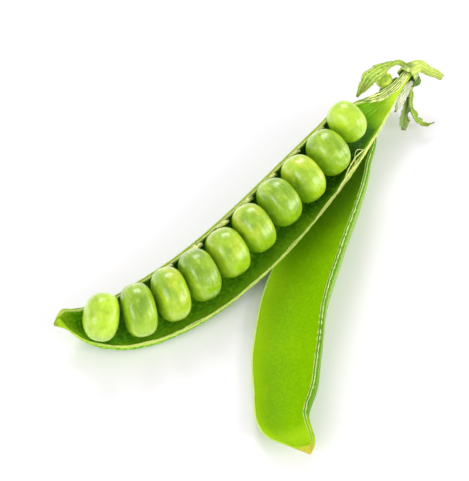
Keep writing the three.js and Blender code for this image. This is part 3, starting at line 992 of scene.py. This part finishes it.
class Skin(Nodes):
    """A material being made."""

    def __init__(self, name):
        super().__init__(bpy.data.materials.new(name))

    def here(self):
        return self.node("ShaderNodeTexCoord", out="Object")

    def marks(self):
        """The piece's own length and way round, from its UV map."""
        return self.parts(self.node("ShaderNodeUVMap", {"uv_map": "UVMap"}))[:2]

    def kept(self, name, out="Fac"):
        """What the mesh keeps on its points under this name."""
        return self.node("ShaderNodeAttribute", {"attribute_name": name}, out=out)

    def spot(self, x, y, z=0.0):
        return self.node("ShaderNodeCombineXYZ", {}, {"X": x, "Y": y, "Z": z})

    def cloud(self, place, scale, detail=3.0, rough=0.5):
        return self.node("ShaderNodeTexNoise", {}, {
            "Vector": place, "Scale": scale, "Detail": detail, "Roughness": rough})

    def cells(self, place, scale):
        return self.node("ShaderNodeTexVoronoi", {}, {"Vector": place, "Scale": scale})

    def blend(self, share, under, over):
        return self.node("ShaderNodeMix", {"data_type": "RGBA"}, {0: share, 6: under, 7: over}, out=2)

    def washes(self, tint, *washes):
        """Washes of (share, tint) over a tint, one after the other."""
        for share, over in washes:
            tint = self.blend(share, tint, over)
        return tint

    def surface(self, tint, rough, height, lift, **constants):
        """Ends the skin: tint, roughness and relief vary, everything else is one value."""
        bump = self.node("ShaderNodeBump", {}, {"Height": height, "Distance": lift, "Strength": 1.0})
        shell = self.node("ShaderNodeBsdfPrincipled", {}, {
            "Base Color": tint, "Roughness": rough, "Normal": bump,
            **{key.replace("_", " "): value for key, value in constants.items()}})
        self.node("ShaderNodeOutputMaterial", {}, {"Surface": shell})
        return self.owner


LIVING = {
    "Subsurface_Weight": 0.22, "Subsurface_Radius": (0.55, 1.0, 0.08), "Subsurface_Scale": 0.0009,
    "Specular_IOR_Level": 0.3, "Coat_Weight": 0.06, "Coat_Roughness": 0.35,
}


# ---- The valves' skins ----

FULL_TINTS = {
    "lining": "#7cc008", "deep lining": "#4a9a06", "neck": "#c2e628", "wax": "#8cca20",
    "deep wax": "#60a414", "back": "#84b030", "groove": "#aecb48", "beak": "#8f7230",
}
EMPTY_TINTS = {
    "lining": "#94c600", "deep lining": "#7cb400", "neck": "#bce41c", "wax": "#9ccc34",
    "deep wax": "#6a9f20", "back": "#54840a", "groove": "#66a024", "beak": "#d8bc50",
}
# How rough the lining is and how dark its painted shade.
FULL_GRAIN = 1.0
EMPTY_GRAIN = 0.3


class ValveSkin(Skin):
    """A valve's tissues: waxy skin outside, dotted lining inside, torn rim, and seam.

    x runs along the valve, way is the share of the way round its section."""

    def __init__(self, name, tints, grain):
        super().__init__(name)
        self.tints, self.grain = tints, grain
        x, way = self.marks()
        self.x, self.way, self.place = x, way, self.here()
        self.fibres = self.cloud(self.spot(x * 100 + way * 30, way * 12 - x * 20), 9, 4, 0.6)
        self.fine = self.cloud(self.place, 1500, 3, 0.7)
        self.specks = self.cells(self.place, 1300)
        self.veins = self.cloud(self.spot(x * 160, way * 26, 3.0), 5, 5, 0.65)
        self.dots = self.cells(self.place, 2100).step(0.35, 0.08)
        self.threads = self.cloud(self.spot(x * 25, way * 220), 6, 3)
        # Painted shade on the lining beside the neck, by the last peas.
        self.shade_by_neck = x.step(0.115, 0.165) * way.step(0.51, 0.575) * x.step(0.42, 0.32)

    def lining(self):
        """Fine slanting fibres over soft cloudy tone, with painted shade in the bed of the peas and by the
        neck.
        """
        x, way, fine, deep = self.x, self.way, self.fine, self.grain ** 3
        smooth = 1 - self.grain
        broad = self.cloud(self.place, 110, 3)
        cloudy = (broad - 0.5) * 1.4 + 0.45 + (self.fibres - 0.5) * 0.6
        nook_shade = x.step(0.14, 0.18) * x.step(0.3, 0.24) * way.step(0.55, 0.6)
        bed = way.step(0.56, 0.64) * way.step(0.9, 0.8) * x.step(0.13, 0.2) * x.step(0.9, 0.86)
        bed = bed * (1 - x.step(0.5, 0.62) * 0.4)
        return self.washes(
            self.blend(cloudy, self.tints["deep lining"], self.tints["lining"]),
            # Painted shade: the nook by the last pea, the bed under the peas and the stretch beside the neck
            # are darkened.
            (nook_shade * 0.85 * deep, "#1a5000"),
            (bed * (0.5 + broad.step(0.35, 0.65) * 0.45) * deep, "#256404"),
            (self.shade_by_neck * 0.85 * deep, "#1d5c04"),
            (fine.step(0.5, 0.66) * 0.3 * smooth, "#b0dc10"),
            (fine.step(0.5, 0.36) * 0.3 * smooth, "#669c00"),
            # Painted shadow of the full valve over the empty valve's lining near the calyx; nothing on the
            # full valve.
            (x.step(0.45, 0.2) * 0.75 * smooth, "#5a9404"))

    def grained(self, lining):
        """Dots and specks over the bed of the peas, streaks over the bare neck, pale tissue by the rim."""
        x, way, specks, neck = self.x, self.way, self.specks, self.tints["neck"]
        dotted = x.step(0.15, 0.26) * self.grain * self.grain
        streaks = self.cloud(self.spot(x * 50, way * 160, 2.0), 4, 4, 0.6)
        by_rim = way.step(RIM_END + 0.12, RIM_END + 0.01)
        shore = way.step(0.66, 0.54) * x.step(0.4, 0.46) * x.step(0.88, 0.8)
        return self.washes(
            lining,
            ((self.fine.step(0.5, 0.72) * 0.5 + specks.step(0.3, 0.1) * 0.35) * dotted * 0.8, neck),
            (specks.step(0.45, 0.75) * 0.5 * dotted, "#1f5a06"),
            (streaks.step(0.5, 0.65) * (1 - dotted) * 0.3, neck),
            (streaks.step(0.5, 0.35) * (1 - dotted) * 0.2, "#3f8a08"),
            # The pale tissue by the rim gives way where the painted shade by the neck lies.
            (by_rim * (0.6 - self.shade_by_neck * 0.5), neck),
            (shore * 0.5 * self.grain ** 3, "#94c826"))

    def ribbed(self, lining):
        """Pale ribs by the calyx, a light flush beyond them and a brown scorch along the rim."""
        x, way, neck = self.x, self.way, self.tints["neck"]
        ribs = self.cloud(self.spot(x * 7, way * 62, 1.0), 3, 2)
        collar = x.step(0.15, 0.06)
        flush = x.step(0.155, 0.115) * way.step(0.7, 0.58)
        scorch = way.near(RIM_END + 0.012, 0.012) * x.near(0.13, 0.09)
        return self.washes(
            lining,
            (collar * (0.25 + ribs.step(0.44, 0.58) * 0.75), neck),
            (collar * ribs.step(0.49, 0.42) * 0.8, "#5a8e14"),
            (collar * ribs.step(0.56, 0.64) * 0.6, "#e4f28a"),
            (flush * 0.7 * self.grain, neck),
            (scorch * 0.55, "#8a5a1c"))

    def outside(self):
        """A net of fine veins, small pale breathing dots and a paler bloom by the margin."""
        x, way, fine, veins = self.x, self.way, self.fine, self.veins
        by_margin = way.step(OUTSIDE_END - 0.09, OUTSIDE_END - 0.01)
        stripes = self.cloud(self.spot(x * 22, way * 130, 4.0), 5, 3).step(0.42, 0.6)
        return self.washes(
            self.blend(veins.step(0.35, 0.7), self.tints["deep wax"], self.tints["wax"]),
            (self.dots * 0.35, "#d9ef8e"),
            (by_margin * (0.2 + fine.step(0.45, 0.6) * 0.7), "#aede3c"),
            (by_margin * fine.step(0.5, 0.38) * 0.75, "#5a9a12"),
            (way.step(0.15, 0.04) * (0.6 + veins.step(0.4, 0.6) * 0.35), self.tints["back"]),
            (way.step(0.14, 0.08) * x.step(0.95, 0.6) * (1 - self.grain) * stripes, "#c8e084"))

    def torn_rim(self):
        """Pale fibres along the rim's length, browned in patches."""
        x = self.x
        light = self.threads.step(0.35, 0.65) * (1 - x.step(0.3, 0.42) * 0.2 * self.grain)
        browned = self.cloud(self.place, 420, 2).step(0.62, 0.75) * x.near(0.25, 0.14)
        return self.washes(self.blend(light, "#cfe95e", "#f8ffa4"), (browned * 0.3, "#b49a3c"))

    def seam(self):
        """One broad pale cord on the full valve, two slim ones on the empty valve, green between."""
        x, way, grain, groove = self.x, self.way, self.grain, self.tints["groove"]
        wander = way + (self.cloud(self.spot(x * 26, 0.0, 9.0), 3, 3) - 0.5) * 0.06
        cords = (wander.near(0.905 + 0.011 * grain, 0.014 + 0.026 * grain)
                 + wander.near(0.965, 0.018) * (1 - grain))
        frets = self.cloud(self.spot(x * 32, way * 40, 5.0), 5, 2)
        return self.washes(
            self.blend(cords.step(0.1, 0.8), groove, "#f2fba6"),
            (self.threads.step(0.5, 0.75) * 0.45, groove),
            (frets.step(0.57, 0.63) * (0.25 + 0.3 * grain), "#7a621c"))

    def finish(self):
        """Lays the tissues side by side round the section and ends the skin."""
        x, way, fine, grain = self.x, self.way, self.fine, self.grain
        inside = way.step(RIM_END - 0.004, RIM_END + 0.006) * way.step(INSIDE_END + 0.004, INSIDE_END - 0.004)
        rim = way.step(OUTSIDE_END, OUTSIDE_END + 0.012) * way.step(RIM_END + 0.004, RIM_END - 0.004)
        seam = way.step(INSIDE_END - 0.004, INSIDE_END + 0.01)
        tip = (x + (fine - 0.5) * 0.02).step(0.942 + 0.006 * grain, 0.956)
        tint = self.washes(
            self.outside(),
            (inside, self.ribbed(self.grained(self.lining()))),
            (rim, self.torn_rim()),
            (seam, self.seam()),
            (x.step(0.9, 0.94) * 0.5, self.tints["neck"]),
            (tip * 0.9, self.tints["beak"]))
        relief = (inside * (self.fibres * 0.35 + fine * 0.7 * grain + self.specks * 0.5 * grain)
                  + (1 - inside) * (self.veins * 0.5 - self.dots * 0.3 + fine * 0.6)
                  + self.threads * (rim + seam) * 0.9)
        rough = 0.4 + (1 - inside) * 0.08 + rim * 0.3 + seam * 0.15 + (fine - 0.5) * 0.3
        dull = {**LIVING, "Specular_IOR_Level": 0.02 + 0.05 * grain, "Coat_Weight": 0.0}
        return self.surface(tint, rough, relief, 0.00014, **dull)


def full_valve_skin():
    return ValveSkin("full_valve_skin", FULL_TINTS, FULL_GRAIN).finish()


def empty_valve_skin():
    return ValveSkin("empty_valve_skin", EMPTY_TINTS, EMPTY_GRAIN).finish()


# ---- The other skins ----

def pea_skin():
    """Fresh seed coat: soft clouds of two greens, a painted glow that makes it greener below, pale by the
    scar, finely pored.
    """
    skin = Skin("pea_skin")
    grown = skin.kept("own", "Vector")
    tone, number = skin.kept("tone"), skin.kept("kin")
    _, side, height = skin.parts(grown)
    shift = skin.spot(number * 3.7, number * 1.3)
    own = skin.node("ShaderNodeVectorMath", {"operation": "ADD"}, {0: grown, 1: shift})
    drawn_out = skin.node("ShaderNodeMapping", {}, {"Vector": own, "Scale": (5, 1, 1)})
    clouds = skin.cloud(own, 1.1, 2)
    mottle = skin.cloud(own, 3.2, 4, 0.6)
    streaks = skin.cloud(drawn_out, 1.7, 4, 0.6)
    pores = skin.cloud(own, 26, 3, 0.7)
    bruise = skin.cloud(own, 1.6, 3).step(0.48, 0.66) * (1.1 - tone)
    flush = skin.cloud(own, 1.15, 2).step(0.54, 0.42) * tone.near(0.44, 0.18)
    tint = skin.washes(
        skin.blend(tone + (clouds - 0.5) * 1.5, "#78a00a", "#c6e834"),
        (bruise * 0.65, "#4a8a12"),
        (flush * 0.6, "#c6d224"),
        (side.step(0.0, 0.9) * 0.5, "#a6d208"),
        (streaks.step(0.48, 0.72) * 0.3, "#c6e640"),
        (mottle.step(0.48, 0.7) * 0.35, "#daf06c"),
        (mottle.step(0.5, 0.3) * 0.25, "#628e06"),
        (pores.step(0.5, 0.7) * 0.22, "#658f10"),
        (pores.step(0.48, 0.3) * 0.15, "#daf06c"),
        # Painted glow: the lower side is tinted brighter lime, as if lit through the skin.
        (height.step(0.4, -0.5) * 0.75, "#9cd000"),
        (side.step(-0.8, -1.0) * 0.6, "#dff08a"))
    relief = mottle * 0.3 + streaks * 0.2 + pores * 0.05
    rough = 0.26 + (mottle - 0.5) * 0.2 + (streaks - 0.5) * 0.1
    return skin.surface(
        tint, rough, relief, 0.0001, Subsurface_Weight=0.25, Subsurface_Radius=(1.0, 1.2, 0.1),
        Subsurface_Scale=0.0006, Specular_IOR_Level=0.25, Coat_Weight=0.85, Coat_Roughness=0.28,
        Sheen_Weight=0.05, Sheen_Roughness=0.3, Sheen_Tint="#e6ff5a")


def leafy_skin(name, light, deep, edge, ribbing):
    """Sepals and stalk: ribs along the length, pale edges, soft fuzz, dark and dry places as marked; the dark
    marks on the calyx cup and swelling are painted shade.
    """
    skin = Skin(name)
    length, way = skin.marks()
    here = skin.here()
    pale, dark, dry = skin.kept("pale"), skin.kept("dark"), skin.kept("dry")
    ribs = skin.node("ShaderNodeMath", {"operation": "SINE"}, {0: way * 75 + skin.cloud(here, 300) * 3})
    clouds = skin.cloud(here, 330, 4)
    fuzz = skin.cloud(here, 2400, 3, 0.7)
    specks = skin.cells(here, 1000).step(0.3, 0.16)
    crease = length.near(0.84, 0.16) * way.near(0.2, 0.18)
    margin = way.near(0.5, 0.05) + way.step(0.05, 0.01) + way.step(0.95, 0.99)
    tint = skin.washes(
        skin.blend(clouds.step(0.3, 0.7), deep, light),
        (ribs.step(0.1, 1) * 0.5, edge),
        (ribs.step(-0.3, -1) * ribbing, "#5d8a1c"),
        (dark * (0.55 + clouds.step(0.35, 0.6) * 0.4), "#3c7014"),
        (pale * (0.72 + ribs.step(-0.5, 0.3) * 0.28), "#fffce0"),
        (fuzz.step(0.5, 0.7) * 0.3, "#dff07a"),
        (fuzz.step(0.48, 0.3) * 0.4 * (1 - pale), "#5a8a10"),
        (specks * (1 - pale) * ribbing, "#4c7410"),
        (dry * (crease + margin * 0.8) * (0.4 + clouds.step(0.35, 0.6) * 0.6), "#6e4e16"),
        (length.step(0.93, 1.0) * 0.7, "#8a7a35"))
    relief = ribs * 0.5 + fuzz * 0.6 + clouds * 0.4
    return skin.surface(tint, 0.5 + (fuzz - 0.5) * 0.3, relief, 0.00018, Sheen_Weight=0.1,
                        Sheen_Roughness=0.4, Sheen_Tint="#e8f6a0", **LIVING)


def calyx_skin():
    return leafy_skin("calyx_skin", "#c8e438", "#8cba1a", "#e8f880", 0.5)


def stalk_skin():
    return leafy_skin("stalk_skin", "#d6e86c", "#bcd24a", "#e2f08c", 0.15)


def thread_skin():
    """Split strands and torn fibres: dry pale ones and fresh green ones."""
    skin = Skin("thread_skin")
    length, green = skin.marks()
    grain = skin.cloud(skin.spot(length * 9, green * 7), 4, 3)
    fine = skin.cloud(skin.here(), 2600, 3)
    tint = skin.washes(
        skin.blend(green + (grain - 0.5) * 0.9, "#f8ff9e", "#5c901a"),
        (grain.step(0.62, 0.72) * 0.4, "#8a7a34"))
    return skin.surface(tint, 0.6 + (fine - 0.5) * 0.3, grain * 0.6 + fine * 0.4, 0.0001, **LIVING)


def hair_skin():
    skin = Skin("hair_skin")
    fine = skin.cloud(skin.here(), 1800, 2)
    tint = skin.blend(fine.step(0.35, 0.65), "#cfdf96", "#f2f7d2")
    return skin.surface(tint, 0.5 + (fine - 0.5) * 0.2, fine, 0.00002, **LIVING)


def seed_skin():
    skin = Skin("seed_skin")
    here = skin.here()
    clouds = skin.cloud(here, 500, 3)
    fine = skin.cloud(here, 2500, 3)
    tint = skin.washes(
        skin.blend(clouds.step(0.35, 0.65), "#94b81a", "#dcec5e"),
        (fine.step(0.5, 0.7) * 0.3, "#e6f08c"))
    return skin.surface(tint, 0.4 + (fine - 0.5) * 0.2, clouds * 0.5 + fine * 0.4, 0.00018, **LIVING)


def floor_skin():
    skin = Skin("pale_floor")
    grain = skin.cloud(skin.here(), 40, 2)
    tint = skin.blend(grain, "#f8f3fa", "#fbf7fc")
    return skin.surface(tint, 0.85 + (grain - 0.5) * 0.05, grain, 0.00001, Specular_IOR_Level=0.2)


# ---- Camera, floor and light ----

def aim_camera():
    turn, height = radians(VIEW_TURN), radians(VIEW_HEIGHT)
    back = Vector((sin(turn) * cos(height), -cos(turn) * cos(height), sin(height)))
    bpy.ops.object.camera_add(location=VIEW_TARGET * MM + back * VIEW_DISTANCE)
    camera = bpy.context.object
    camera.rotation_mode = "QUATERNION"
    camera.rotation_quaternion = (-back).to_track_quat("-Z", "Y")
    camera.data.lens = VIEW_LENS
    camera.data.sensor_width = 36
    camera.data.clip_start = 0.01
    bpy.context.scene.camera = camera


def lay_floor():
    bpy.ops.mesh.primitive_plane_add(size=4)
    floor = bpy.context.object
    floor.name = floor.data.name = "floor"
    floor.data.materials.append(floor_skin())


def soft_box(name, right, away, up, size, power):
    """A square lamp turned towards the pod."""
    place = LAMP_TARGET + RIGHTWARDS * right + AWAY * away + Vector((0, 0, up))
    bpy.ops.object.light_add(type="AREA", location=place)
    lamp = bpy.context.object
    lamp.name = name
    lamp.rotation_mode = "QUATERNION"
    lamp.rotation_quaternion = (LAMP_TARGET - place).to_track_quat("-Z", "Y")
    lamp.data.size = size
    lamp.data.energy = power


def light_room():
    """A soft white room, brightest near the horizon, with lamps round the pod."""
    room = Nodes(bpy.data.worlds.new("soft_room"))
    up = room.parts(room.node("ShaderNodeTexCoord", out="Generated"))[2]
    fall = room.node("ShaderNodeMapRange", {}, {"Value": up, "To Min": 0.94, "To Max": 0.58})
    glow = room.node("ShaderNodeBackground", {}, {"Color": "#ffffff", "Strength": fall})
    room.node("ShaderNodeOutputWorld", {}, {"Surface": glow})
    bpy.context.scene.world = room.owner
    for name, measures in LAMPS.items():
        soft_box(name, *measures)
    bpy.context.scene.view_settings.view_transform = "Standard"


# ---- The whole pod ----

def build():
    dress(full_pod_valve(), full_valve_skin(), "full_valve_skin", "valve_with_peas")
    dress(empty_pod_valve(), empty_valve_skin(), "empty_valve_skin", "valve_empty")
    green = pea_skin()
    for number, pea in enumerate(fresh_peas(), 1):
        dress(pea, green, "pea_skin", f"pea_{number:02d}")
    dress(flower_calyx(), calyx_skin(), "calyx_skin", "calyx")
    dress(sepal_hairs(), hair_skin(), "calyx_skin")
    dress(pod_stalk(), stalk_skin(), "stalk_skin", "pedicel")
    dress(small_seed(), seed_skin(), "seed_skin", "undeveloped_seed")
    loose = thread_skin()
    dress(suture_strands(), loose, "full_valve_skin")
    dress(rim_fibres(), loose, "full_valve_skin")


aim_camera()
lay_floor()
light_room()
build()
